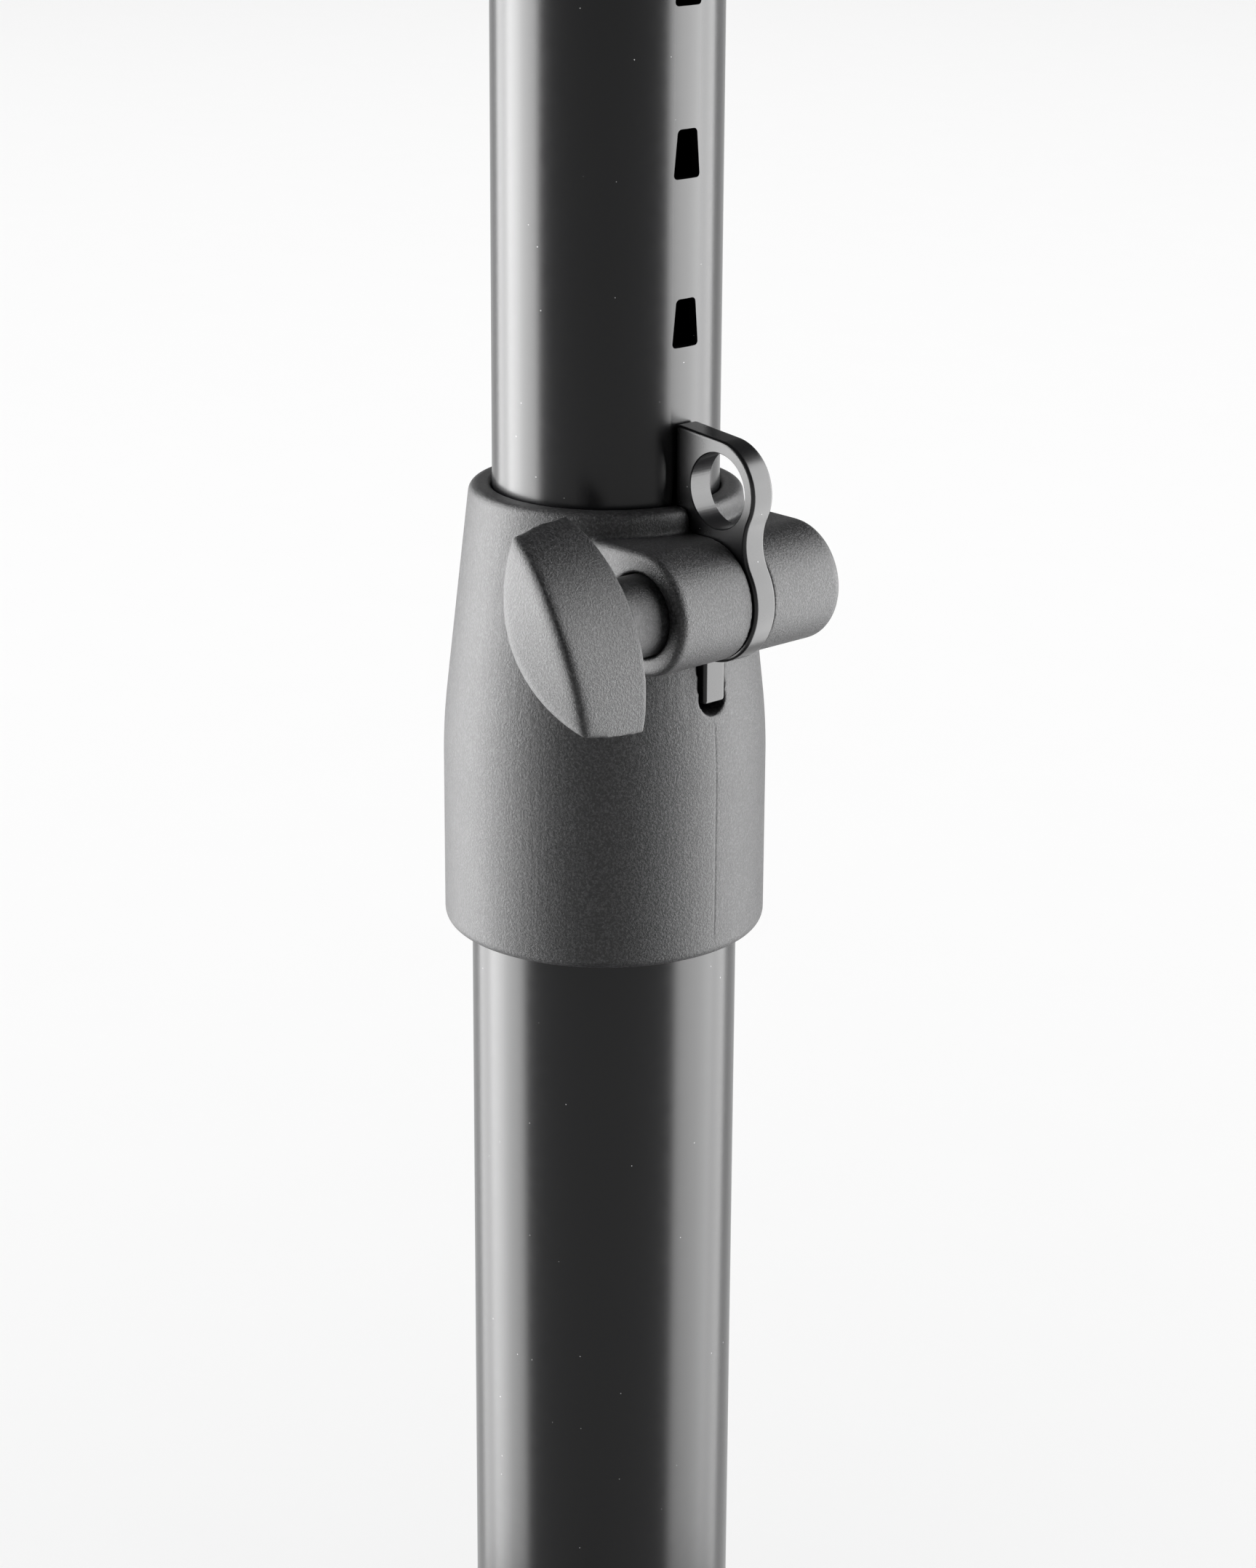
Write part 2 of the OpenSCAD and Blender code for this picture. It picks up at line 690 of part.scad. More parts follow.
// Wing: two drafted arcs that meet at the tips, a domed outer face and a round neck
module wing_knob() {
    side = wing_face_r - wing_t / 2;
    color(nylon_black) on_barrel() difference() {
        union() {
            rotate([0, 0, wing_lean]) intersection() {
                wing_face(side);
                wing_face(-side);
                translate([0, 0, wing_tip + wing_dome - wing_dome_r]) rotate([90, 0, 0])
                    cylinder(r = wing_dome_r, h = 2 * wing_t, center = true);
            }
            translate([0, 0, washer_at + clamp_washer_t + pin_gap])
                cylinder(r = neck_r, h = wing_inner - washer_at - clamp_washer_t);
        }
        translate([0, 0, washer_at])
            cylinder(r = clamp_bolt_r + seat_gap, h = wing_inner - washer_at + wing_depth / 2 + lead_in);
    }
}

module wing_face(side) {
    depth = wing_depth + wing_dome;
    translate([0, side, wing_inner])
        cylinder(r1 = wing_face_r, r2 = wing_face_r - wing_draft * depth / wing_depth, h = depth);
}

// Upper tube with its column of notches, narrow edge up
module inner_tube() {
    color(coat_black) difference() {
        translate([0, 0, inner_bottom_z]) cylinder(r = inner_r, h = inner_tube_l);
        translate([0, 0, inner_bottom_z - past]) cylinder(r = inner_bore_r, h = inner_tube_l + 2 * past);
        for (i = [-notch_steps:notch_steps])
            translate([0, 0, collar_z + notch_top_up + i * notch_pitch]) rotate([90, 0, 90])
                linear_extrude(outer_r) notch();
        translate([0, 0, grub_z()]) rotate([90, 0, 0])
            translate([0, 0, inner_r - grub_seat]) cylinder(r = grub_r + seat_gap, h = past);
    }
}

// Notch with its upper edge on y = 0
module notch() {
    lean = atan((notch_bottom_w - notch_top_w) / 2 / notch_h);
    r = notch_corner_r;
    top_x = notch_top_w / 2 + r * tan(lean) - r / cos(lean);
    bottom_x = notch_bottom_w / 2 - r * tan(lean) - r / cos(lean);
    soft_polygon([[-bottom_x, r - notch_h], [-top_x, -r], [top_x, -r], [bottom_x, r - notch_h]], r);
}

// Plastic end plug that centres the upper tube's lower end in the lower tube
module glide_ring() {
    color(nylon_black) translate([0, 0, inner_bottom_z]) difference() {
        union() {
            translate([0, 0, -glide_flange_t])
                puck(outer_bore_r - slide_gap, glide_flange_t, lead_in);
            cylinder(r = inner_bore_r - seat_gap, h = glide_plug_l);
        }
        translate([0, 0, -glide_flange_t - past])
            cylinder(r = inner_bore_r - glide_wall, h = glide_flange_t + glide_plug_l + 2 * past);
    }
}

function grub_z() = head_z + head_socket / 2;

// Cast head that caps the upper tube and carries the fork of the tilt joint
module tilt_head() {
    r = head_d / 2;
    h = head_top_z - head_z;
    color(coat_black) difference() {
        union() {
            translate([0, 0, head_z]) puck(r, h, collar_rim_r);
            for (s = [-1, 1]) on_tilt() translate([0, 0, s * (fork_half + ear_t / 2)])
                linear_extrude(ear_t, center = true) ear_side();
        }
        translate([0, 0, head_z - past]) cylinder(r = inner_r + seat_gap, h = head_socket + past);
        on_tilt() {
            cylinder(r = tilt_bolt_r + seat_gap, h = 2 * ear_face + 2 * past, center = true);
            translate([0, 0, -ear_face - past])
                cylinder(r = (tilt_head_w + nut_play) / 2 / cos(30), h = tilt_seat + past, $fn = 6);
        }
        translate([0, 0, grub_z()]) rotate([90, 0, 0]) cylinder(r = grub_r + seat_gap, h = r + past);
    }
}

module ear_side() {
    circle(ear_r);
    translate([-ear_r, -tilt_up - head_cap_t / 2]) square([2 * ear_r, tilt_up + head_cap_t / 2]);
}

// Socket screw that fixes the head on the upper tube
module head_grub_screw() {
    color(screw_black) translate([0, 0, grub_z()]) rotate([90, 0, 0]) difference() {
        translate([0, 0, inner_r - grub_sink]) cylinder(r = grub_r, h = head_d / 2 - inner_r);
        translate([0, 0, head_d / 2 - grub_sink]) hex_key(grub_key_w, grub_key_depth);
    }
}

// Six-sided bolt through the fork and the tongue, with its head sunk in one ear
module tilt_bolt() {
    color(zinc_grey) on_tilt() {
        translate([0, 0, tilt_seat - ear_face - tilt_head_h])
            cylinder(r = tilt_head_w / 2 / cos(30), h = tilt_head_h, $fn = 6);
        translate([0, 0, tilt_seat - ear_face - past])
            cylinder(r = tilt_bolt_r, h = 2 * ear_face - tilt_seat + tilt_washer_t + insert_l + past);
    }
}

// Fibre discs that give the tilt its friction
module friction_washers() {
    color(fibre_brown) for (s = [-1, 1]) on_tilt()
        translate([0, 0, s * (fork_half - friction_t / 2 - pin_gap)]) difference() {
            cylinder(r = ear_r - 1, h = friction_t, center = true);
            cylinder(r = tilt_bolt_r + seat_gap, h = friction_t + past, center = true);
        }
}

module tilt_washer() {
    color(zinc_grey) on_tilt() translate([0, 0, ear_face]) difference() {
        cylinder(r = tilt_washer_r, h = tilt_washer_t);
        translate([0, 0, -past]) cylinder(r = tilt_bolt_r + seat_gap, h = tilt_washer_t + 2 * past);
    }
}

// Five-lobed knob that clamps the tilt
module tilt_knob() {
    color(nylon_black) on_tilt() translate([0, 0, knob_at]) difference() {
        union() {
            cylinder(r = knob_hub_r, h = knob_hub_l + past);
            translate([0, 0, knob_hub_l]) puck(tilt_knob_r, tilt_knob_t, knob_edge_r);
        }
        for (i = [0:knob_lobes - 1]) rotate([0, 0, i * 360 / knob_lobes])
            translate([tilt_knob_r + knob_scoop_out, 0, knob_hub_l - past])
                cylinder(r = knob_scoop_r, h = tilt_knob_t + 2 * past);
        translate([0, 0, -past]) cylinder(r = insert_r + seat_gap, h = insert_l + past);
    }
}

// Brass thread insert of the tilt knob
module tilt_insert() {
    color(brass_yellow) on_tilt() translate([0, 0, knob_at]) difference() {
        cylinder(r = insert_r, h = insert_l);
        translate([0, 0, -past]) cylinder(r = tilt_bolt_r + pin_gap, h = insert_l + 2 * past);
    }
}

// Cast bracket under the tray: a tongue on the tilt bolt that widens up to a square flange
module tray_bracket() {
    color(coat_black) difference() {
        union() {
            on_tilt() linear_extrude(tongue_t, center = true) tongue_side();
            translate([0, 0, sheet_z - flange_t]) linear_extrude(flange_t)
                round_rect(flange_w, flange_w, flange_corner_r);
        }
        on_tilt() cylinder(r = tilt_bolt_r + pin_gap, h = tongue_t + 2 * past, center = true);
        at_tray_bolts() translate([0, 0, sheet_z - flange_t - past])
            cylinder(r = tray_bolt_r + seat_gap, h = flange_t + 2 * past);
    }
}

// Side view of the tongue, whose flanks run into its round end just inside its edge
module tongue_side() {
    top = tray_up - flange_t / 2;
    touch = tangent_point([tongue_top_half, top], [0, 0], ear_r - past);
    circle(ear_r);
    polygon([[tongue_top_half, top], [-tongue_top_half, top], [-touch[0], touch[1]], touch]);
}

// Pressed sheet tray with a turned-down rim
module tray_plate() {
    edge = min(2, tray_t - 0.5);
    color(coat_black) difference() {
        translate([0, 0, tray_top_z - tray_rim_h])
            tray_shell(tray_w, tray_d, tray_rim_h, tray_corner_r, edge);
        translate([0, 0, tray_top_z - tray_rim_h - past])
            linear_extrude(tray_rim_h - tray_t + past)
                round_rect(tray_w - 2 * tray_t, tray_d - 2 * tray_t, tray_corner_r - tray_t);
        at_tray_bolts() translate([0, 0, tray_top_z])
            sunk_hole(tray_bolt_r, tray_head_r, tray_t + past, seat_gap);
    }
}

// Solid outside of the tray: round corners, square lower rim, rounded upper rim
module tray_shell(w, d, h, corner, edge) {
    linear_extrude(h / 2) round_rect(w, d, corner);
    round_plate(w, d, h, corner, edge);
}

// Flat-headed screws that hold the tray on its bracket
module tray_screws() {
    color(screw_black) at_tray_bolts() translate([0, 0, tray_top_z])
        sunk_screw(tray_bolt_r, tray_head_r, tray_t + flange_t, tray_key_w, tray_key_depth);
}

// Rubber pads that the speaker stands on
module tray_pads() {
    color(rubber_black) for (x = [-1, 1], y = [-1, 1])
        translate([x * (tray_w / 2 - pad_inset), y * (tray_d / 2 - pad_inset), tray_top_z])
            round_plate(pad_l, pad_w, pad_t, pad_corner_r, pad_edge_r);
}

base_plate();
base_feet();
foot_screws();
column_foot_plug();
base_bolt();
outer_tube();
guide_sleeve();
clamp_collar();
collar_screw();
clamp_nut();
thrust_washer();
latch_spring();
latch_lever();
clamp_bolt();
wing_knob();
inner_tube();
glide_ring();
tilt_head();
head_grub_screw();
tilt_bolt();
friction_washers();
tilt_washer();
tilt_knob();
tilt_insert();
tray_bracket();
tray_plate();
tray_screws();
tray_pads();
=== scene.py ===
# Desktop monitor stand, dressed for a close studio picture of its clamp collar
import math

import bpy
from mathutils import Matrix, Vector


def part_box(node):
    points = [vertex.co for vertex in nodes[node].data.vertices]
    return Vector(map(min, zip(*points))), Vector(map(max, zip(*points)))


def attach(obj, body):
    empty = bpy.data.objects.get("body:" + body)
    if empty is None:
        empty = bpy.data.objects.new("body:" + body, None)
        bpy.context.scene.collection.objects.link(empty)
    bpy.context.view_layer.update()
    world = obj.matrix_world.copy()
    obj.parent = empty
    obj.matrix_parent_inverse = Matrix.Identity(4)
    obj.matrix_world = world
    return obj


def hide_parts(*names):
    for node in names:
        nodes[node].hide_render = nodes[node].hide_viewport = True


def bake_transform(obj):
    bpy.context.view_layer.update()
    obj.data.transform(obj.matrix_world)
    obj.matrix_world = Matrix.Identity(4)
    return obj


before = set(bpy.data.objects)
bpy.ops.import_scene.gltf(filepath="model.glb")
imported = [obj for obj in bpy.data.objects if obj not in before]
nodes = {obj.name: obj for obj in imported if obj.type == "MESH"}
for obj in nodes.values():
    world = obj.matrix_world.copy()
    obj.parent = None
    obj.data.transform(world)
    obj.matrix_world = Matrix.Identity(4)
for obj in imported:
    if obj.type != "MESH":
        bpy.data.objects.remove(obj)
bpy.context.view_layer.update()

mm = 0.001  # lengths in the dictionaries are in mm, unless a note says otherwise
print("Packed stand loaded:", len(nodes), "nodes")


# Small helpers

meshing = {
    "mergeWithin": 0.002,
    "flatWithin": 0.4,     # degrees, as are the three below
    "sharpFrom": 50,
    "smoothUnder": 30,     # faces that meet at less are shaded as one
    "smoothAllRound": 60,  # the same on remeshed pieces
    "roundSteps": 3,
    "softenBy": 0.5,
}


def toLinear(hexColour):  # sRGB hex to the linear colour that a socket takes
    parts = [int(hexColour[i:i + 2], 16) / 255 for i in (1, 3, 5)]
    return [c / 12.92 if c <= 0.04045 else ((c + 0.055) / 1.055) ** 2.4 for c in parts] + [1]


def perMetre(sizeMm):  # texture scale for a feature of that size
    return 1000 / sizeMm


def addNode(tree, kind, settings, links=None):
    node = tree.nodes.new(kind)
    for name, value in settings.items():
        if isinstance(name, int) or name in node.inputs:
            node.inputs[name].default_value = value
        else:
            setattr(node, name, value)
    for name, source in (links or {}).items():
        tree.links.new(source, node.inputs[name])
    return node


def startMaterial(name, settings):  # new material, its tree, its shader and its object coordinates
    material = bpy.data.materials.new(name)
    material.use_nodes = True
    tree = material.node_tree
    shader = tree.nodes["Principled BSDF"]
    for socket, value in settings.items():
        shader.inputs[socket].default_value = value
    return material, tree, shader, addNode(tree, "ShaderNodeTexCoord", {}).outputs["Object"]


def useModifier(piece, kind, **settings):  # adds a modifier and applies it
    bpy.ops.object.select_all(action="DESELECT")
    piece.select_set(True)
    bpy.context.view_layer.objects.active = piece
    modifier = piece.modifiers.new(kind.title(), kind)
    for name, value in settings.items():
        setattr(modifier, name, value)
    bpy.ops.object.modifier_apply(modifier=modifier.name)


def activate(piece, mode="OBJECT"):
    if bpy.context.mode != "OBJECT":
        bpy.ops.object.mode_set(mode="OBJECT")
    bpy.ops.object.select_all(action="DESELECT")
    piece.select_set(True)
    bpy.context.view_layer.objects.active = piece
    bpy.ops.object.mode_set(mode=mode)


def mergedCopy(nodeName, pieceName):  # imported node's mesh as one closed, clean mesh
    piece = bpy.data.objects.new(pieceName, nodes[nodeName].data.copy())
    bpy.context.scene.collection.objects.link(piece)
    activate(piece, "EDIT")
    bpy.ops.mesh.select_all(action="SELECT")
    bpy.ops.mesh.customdata_custom_splitnormals_clear()
    bpy.ops.mesh.remove_doubles(threshold=meshing["mergeWithin"] * mm)
    bpy.ops.mesh.dissolve_limited(angle_limit=math.radians(meshing["flatWithin"]))
    bpy.ops.object.mode_set(mode="OBJECT")
    return piece


def selectSharp(piece, wanted):  # sharp edges whose two ends pass the test
    activate(piece, "EDIT")
    bpy.ops.mesh.select_mode(type="EDGE")
    bpy.ops.mesh.select_all(action="DESELECT")
    bpy.ops.mesh.edges_select_sharp(sharpness=math.radians(meshing["sharpFrom"]))
    bpy.ops.object.mode_set(mode="OBJECT")
    points = piece.data.vertices
    for edge in piece.data.edges:
        edge.select = edge.select and all(wanted(points[i].co) for i in edge.vertices)
    bpy.ops.object.mode_set(mode="EDIT")


def roundAlong(piece, axis, least, width, steps):  # rounds the edges that run along one axis
    activate(piece, "EDIT")
    bpy.ops.mesh.select_mode(type="EDGE")
    bpy.ops.mesh.select_all(action="DESELECT")
    bpy.ops.object.mode_set(mode="OBJECT")
    for edge in piece.data.edges:
        a, b = (piece.data.vertices[i].co for i in edge.vertices)
        edge.select = abs(a[axis] - b[axis]) > least * mm
    bpy.ops.object.mode_set(mode="EDIT")
    bpy.ops.mesh.bevel(offset=width * mm, segments=steps)
    bpy.ops.object.mode_set(mode="OBJECT")


def selectFaces(piece, wanted):  # faces whose middle passes the test
    activate(piece, "EDIT")
    bpy.ops.mesh.select_mode(type="FACE")
    bpy.ops.mesh.select_all(action="DESELECT")
    bpy.ops.object.mode_set(mode="OBJECT")
    for face in piece.data.polygons:
        face.select = wanted(face.center)
    bpy.ops.object.mode_set(mode="EDIT")


def roundSharp(piece, width, steps=meshing["roundSteps"], wanted=lambda point: True):
    selectSharp(piece, wanted)
    bpy.ops.mesh.bevel(offset=width * mm, segments=steps, clamp_overlap=False)
    bpy.ops.object.mode_set(mode="OBJECT")


def soften(piece, rounds, **settings):  # smooths all of it, or only the vertex group that is named
    useModifier(piece, "SMOOTH", factor=meshing["softenBy"], iterations=rounds, **settings)


def remeshSoft(piece, voxel, rounds):  # even mesh with every edge softened
    useModifier(piece, "REMESH", mode="VOXEL", voxel_size=voxel * mm)
    soften(piece, rounds)


def flattenNormals(piece):  # keeps wide flat faces flat beside their rounded edges
    activate(piece)
    bpy.ops.object.shade_smooth_by_angle(angle=math.radians(meshing["smoothUnder"]))
    useModifier(piece, "WEIGHTED_NORMAL", keep_sharp=True)


def cutAway(piece, cutter):
    useModifier(piece, "BOOLEAN", object=cutter, operation="DIFFERENCE", solver="EXACT")
    bpy.data.objects.remove(cutter)


def finishPiece(piece, body, nodeName, slotName, smoothAngle=meshing["smoothUnder"]):
    activate(piece)
    bpy.ops.object.transform_apply(location=True, rotation=True, scale=True)
    bpy.ops.object.shade_smooth_by_angle(angle=math.radians(smoothAngle))
    piece.data.materials.clear()
    piece.data.materials.append(finishes[slotName])
    if body:
        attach(piece, body)
    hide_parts(nodeName)
    return piece


# Camera

view = {
    "turn": 42.419,       # degrees from the latch's side round to the camera
    "dip": 18.39,         # degrees that it looks down
    "yaw": 0.3744,
    "roll": -0.3371,
    "distance": 0.56426,  # metres, from the tubes' axis
    "height": 0.13854,    # metres over the collar's top
    "focal": 86.52,
    "frame": 36,          # height of the frame
}


def placeCamera():
    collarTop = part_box("clamp_collar")[1].z
    turn, dip, yaw, roll = (math.radians(view[k]) for k in ("turn", "dip", "yaw", "roll"))
    side = Vector((math.sin(turn), math.cos(turn), 0))
    ahead = Vector((-math.cos(turn), math.sin(turn), 0))
    forward = math.cos(dip) * (math.sin(yaw) * side + math.cos(yaw) * ahead)
    forward.z = -math.sin(dip)
    level = math.cos(yaw) * side - math.sin(yaw) * ahead
    down = forward.cross(level)
    right = math.cos(roll) * level + math.sin(roll) * down
    down = math.cos(roll) * down - math.sin(roll) * level
    place = -view["distance"] * ahead + Vector((0, 0, collarTop + view["height"]))
    lens = bpy.data.cameras.new("studioCamera")
    lens.sensor_fit = "VERTICAL"
    lens.sensor_height = view["frame"]
    lens.lens = view["focal"]
    camera = bpy.data.objects.new("studioCamera", lens)
    bpy.context.scene.collection.objects.link(camera)
    turned = Matrix((right, -down, -forward)).transposed()
    camera.matrix_world = Matrix.Translation(place) @ turned.to_4x4()
    bpy.context.scene.camera = camera
    return side, ahead


cameraSide, cameraAhead = placeCamera()
print("Camera placed")


# Materials

tubeCoat = {              # dip coat on steel tube: deep and even
    "ior": 1.35,
    "roughest": 0.27,
    "smoothest": 0.22,
    "black": "#040405",
    "peel": 2.2,          # orange peel, and how deep it is
    "peelDepth": 0.0015,
    "dust": "#868686",
    "dustCell": 3.2,      # one grain in each
    "dustPart": 0.028,    # a grain's radius as a part of its cell
}
latchCoat = {             # stove enamel on the stamped latch: a soft sheen on its round edges
    "ior": 1.37,
    "roughest": 0.29,
    "smoothest": 0.24,
    "black": "#080809",
    "peel": 1.6,
    "peelDepth": 0.002,
    "dust": "#8c8c8c",
    "dustCell": 2.6,
    "dustPart": 0.03,
}
surface = {               # sizes and depths of the other patterns
    "nylonGrain": 0.37,
    "nylonDepth": 0.115,
    "nylonCloud": 7,
    "pebbleDepth": 0.05,
    "driftPebbles": 30,   # a powder coat's patches, in pebbles
    "rubberChalk": 6,
    "rubberSkin": 0.4,
    "rubberDepth": 0.03,
    "metalPatch": 5,
    "metalDepth": 0.01,
    "fibrePulp": 0.9,
}


def satinCoat(name, coat):
    # Satin black paint on steel: smooth and even, soft reflections, a few grains of dust
    material, tree, shader, place = startMaterial(name, {"IOR": coat["ior"]})
    peel = addNode(tree, "ShaderNodeTexNoise", {"Scale": perMetre(coat["peel"]), "Detail": 2},
                   {"Vector": place})
    film = addNode(tree, "ShaderNodeMapRange",
                   {"To Min": coat["smoothest"], "To Max": coat["roughest"]},
                   {"Value": peel.outputs["Fac"]})
    tree.links.new(film.outputs["Result"], shader.inputs["Roughness"])
    dust = addNode(tree, "ShaderNodeTexVoronoi", {"Scale": perMetre(coat["dustCell"])},
                   {"Vector": place})
    speck = addNode(tree, "ShaderNodeMath", {"operation": "LESS_THAN", 1: coat["dustPart"]},
                    {0: dust.outputs["Distance"]})
    colour = addNode(tree, "ShaderNodeMix", {"data_type": "RGBA", 6: toLinear(coat["black"]),
                     7: toLinear(coat["dust"])}, {0: speck.outputs["Value"]})
    tree.links.new(colour.outputs[2], shader.inputs["Base Color"])
    bump = addNode(tree, "ShaderNodeBump", {"Strength": 1, "Distance": coat["peelDepth"] * mm},
                   {"Height": peel.outputs["Fac"]})
    tree.links.new(bump.outputs["Normal"], shader.inputs["Normal"])
    return material


def sparkErodedNylon():
    # Black glass-filled nylon from a spark-eroded mould: matte, with a fine bright grain
    material, tree, shader, place = startMaterial("glassFilledNylon", {"IOR": 1.38})
    grain = addNode(tree, "ShaderNodeTexNoise", {"Scale": perMetre(surface["nylonGrain"]), "Detail": 3,
                    "Roughness": 0.8}, {"Vector": place})
    cloud = addNode(tree, "ShaderNodeTexNoise", {"Scale": perMetre(surface["nylonCloud"]), "Detail": 2},
                    {"Vector": place})
    rough = addNode(tree, "ShaderNodeMapRange", {"To Min": 0.42, "To Max": 0.48},
                    {"Value": cloud.outputs["Fac"]})
    tree.links.new(rough.outputs["Result"], shader.inputs["Roughness"])
    fleck = addNode(tree, "ShaderNodeMapRange", {"From Min": 0.45, "From Max": 0.72},
                    {"Value": grain.outputs["Fac"]})
    colour = addNode(tree, "ShaderNodeMix", {"data_type": "RGBA", 6: toLinear("#060607"),
                     7: toLinear("#343435")}, {0: fleck.outputs["Result"]})
    tree.links.new(colour.outputs[2], shader.inputs["Base Color"])
    bump = addNode(tree, "ShaderNodeBump", {"Strength": 1, "Distance": surface["nylonDepth"] * mm},
                   {"Height": grain.outputs["Fac"]})
    tree.links.new(bump.outputs["Normal"], shader.inputs["Normal"])
    return material


def finePowderCoat(name, grainMm, dark, light, rough):
    # Fine-texture black powder coat on plate and castings: small flat pebbles that break the light
    material, tree, shader, place = startMaterial(name, {"IOR": 1.50})
    pebble = addNode(tree, "ShaderNodeTexVoronoi", {"Scale": perMetre(grainMm), "feature": "SMOOTH_F1"},
                     {"Vector": place})
    drift = addNode(tree, "ShaderNodeTexNoise", {"Scale": perMetre(grainMm * surface["driftPebbles"]),
                    "Detail": 3}, {"Vector": place})
    colour = addNode(tree, "ShaderNodeMix", {"data_type": "RGBA", 6: toLinear(dark),
                     7: toLinear(light)}, {0: drift.outputs["Fac"]})
    tree.links.new(colour.outputs[2], shader.inputs["Base Color"])
    spread = addNode(tree, "ShaderNodeMapRange", {"To Min": rough - 0.05, "To Max": rough + 0.05},
                     {"Value": drift.outputs["Fac"]})
    tree.links.new(spread.outputs["Result"], shader.inputs["Roughness"])
    bump = addNode(tree, "ShaderNodeBump", {"Strength": 0.8, "Distance": surface["pebbleDepth"] * mm},
                   {"Height": pebble.outputs["Distance"]})
    tree.links.new(bump.outputs["Normal"], shader.inputs["Normal"])
    return material


def mouldedRubber():
    # Black moulded rubber: dull and slightly chalky, greyer where it has been handled
    material, tree, shader, place = startMaterial("mouldedRubber", {"IOR": 1.52})
    chalk = addNode(tree, "ShaderNodeTexNoise", {"Scale": perMetre(surface["rubberChalk"]), "Detail": 5},
                    {"Vector": place})
    colour = addNode(tree, "ShaderNodeMix", {"data_type": "RGBA", 6: toLinear("#171717"),
                     7: toLinear("#252524")}, {0: chalk.outputs["Fac"]})
    tree.links.new(colour.outputs[2], shader.inputs["Base Color"])
    spread = addNode(tree, "ShaderNodeMapRange", {"To Min": 0.62, "To Max": 0.78},
                     {"Value": chalk.outputs["Fac"]})
    tree.links.new(spread.outputs["Result"], shader.inputs["Roughness"])
    skin = addNode(tree, "ShaderNodeTexNoise", {"Scale": perMetre(surface["rubberSkin"]), "Detail": 3},
                   {"Vector": place})
    bump = addNode(tree, "ShaderNodeBump", {"Strength": 0.7, "Distance": surface["rubberDepth"] * mm},
                   {"Height": skin.outputs["Fac"]})
    tree.links.new(bump.outputs["Normal"], shader.inputs["Normal"])
    return material


def metalFinish(name, dark, light, rough, metallic, grainMm, stretch):
    # Turned or drawn metal with its finish: fine marks along the work, patchy shine
    material, tree, shader, place = startMaterial(name, {"Metallic": metallic})
    along = addNode(tree, "ShaderNodeMapping", {"Scale": stretch}, {"Vector": place})
    marks = addNode(tree, "ShaderNodeTexNoise", {"Scale": perMetre(grainMm), "Detail": 3},
                    {"Vector": along.outputs["Vector"]})
    patch = addNode(tree, "ShaderNodeTexNoise", {"Scale": perMetre(surface["metalPatch"]), "Detail": 2},
                    {"Vector": place})
    colour = addNode(tree, "ShaderNodeMix", {"data_type": "RGBA", 6: toLinear(dark),
                     7: toLinear(light)}, {0: patch.outputs["Fac"]})
    tree.links.new(colour.outputs[2], shader.inputs["Base Color"])
    spread = addNode(tree, "ShaderNodeMapRange", {"To Min": rough - 0.08, "To Max": rough + 0.08},
                     {"Value": marks.outputs["Fac"]})
    tree.links.new(spread.outputs["Result"], shader.inputs["Roughness"])
    bump = addNode(tree, "ShaderNodeBump", {"Strength": 0.5, "Distance": surface["metalDepth"] * mm},
                   {"Height": marks.outputs["Fac"]})
    tree.links.new(bump.outputs["Normal"], shader.inputs["Normal"])
    return material


def vulcanFibre():
    # Grey vulcanised fibre washers: dry, with a faint layered mottle
    material, tree, shader, place = startMaterial("vulcanisedFibre", {"IOR": 1.5})
    pulp = addNode(tree, "ShaderNodeTexNoise", {"Scale": perMetre(surface["fibrePulp"]), "Detail": 5},
                   {"Vector": place})
    colour = addNode(tree, "ShaderNodeMix", {"data_type": "RGBA", 6: toLinear("#3f3832"),
                     7: toLinear("#5b5148")}, {0: pulp.outputs["Fac"]})
    tree.links.new(colour.outputs[2], shader.inputs["Base Color"])
    spread = addNode(tree, "ShaderNodeMapRange", {"To Min": 0.6, "To Max": 0.75},
                     {"Value": pulp.outputs["Fac"]})
    tree.links.new(spread.outputs["Result"], shader.inputs["Roughness"])
    return material


finishes = {
    "tube_coat": satinCoat("satinBlackTubeCoat", tubeCoat),
    "nylon": sparkErodedNylon(),
    "latch_coat": satinCoat("satinBlackEnamel", latchCoat),
    "plate_coat": finePowderCoat("finePowderCoat", 0.35, "#161617", "#1d1d1e", 0.52),
    "cast_coat": finePowderCoat("castingPowderCoat", 0.45, "#151516", "#1c1c1d", 0.5),
    "rubber": mouldedRubber(),
    "zinc_steel": metalFinish("clearZincSteel", "#a9adb2", "#c6c9cc", 0.33, 1, 0.2, (1, 1, 0.3)),
    "spring_steel": metalFinish("drawnSpringSteel", "#7d8084", "#96999c", 0.3, 1, 0.1, (1, 1, 1)),
    "black_screw": metalFinish("blackOxideSteel", "#151516", "#232324", 0.4, 0.6, 0.2, (1, 1, 1)),
    "fibre": vulcanFibre(),
    "brass_insert": metalFinish("turnedBrass", "#a8884a", "#c2a468", 0.3, 1, 0.15, (1, 1, 4)),
}
for node in nodes.values():
    for place in node.material_slots:
        place.material = finishes[place.material.name]
print("Materials made:", len(finishes))


# Column tubes

tubes = {
    "sides": 240,
    "wall": 1.5,
    "endRound": 0.3,
}
notches = {
    "firstUp": 5.95,      # held notch's upper edge over the collar
    "pitch": 25,
    "each": 3,            # above and below the held one
    "topWidth": 3.85,
    "bottomWidth": 5.3,
    "height": 7.3,
    "cornerRound": 0.7,
    "cornerSteps": 6,
    "cutMiddle": 16,      # the cutting block's middle and length, out from the axis
    "cutLength": 8,
}


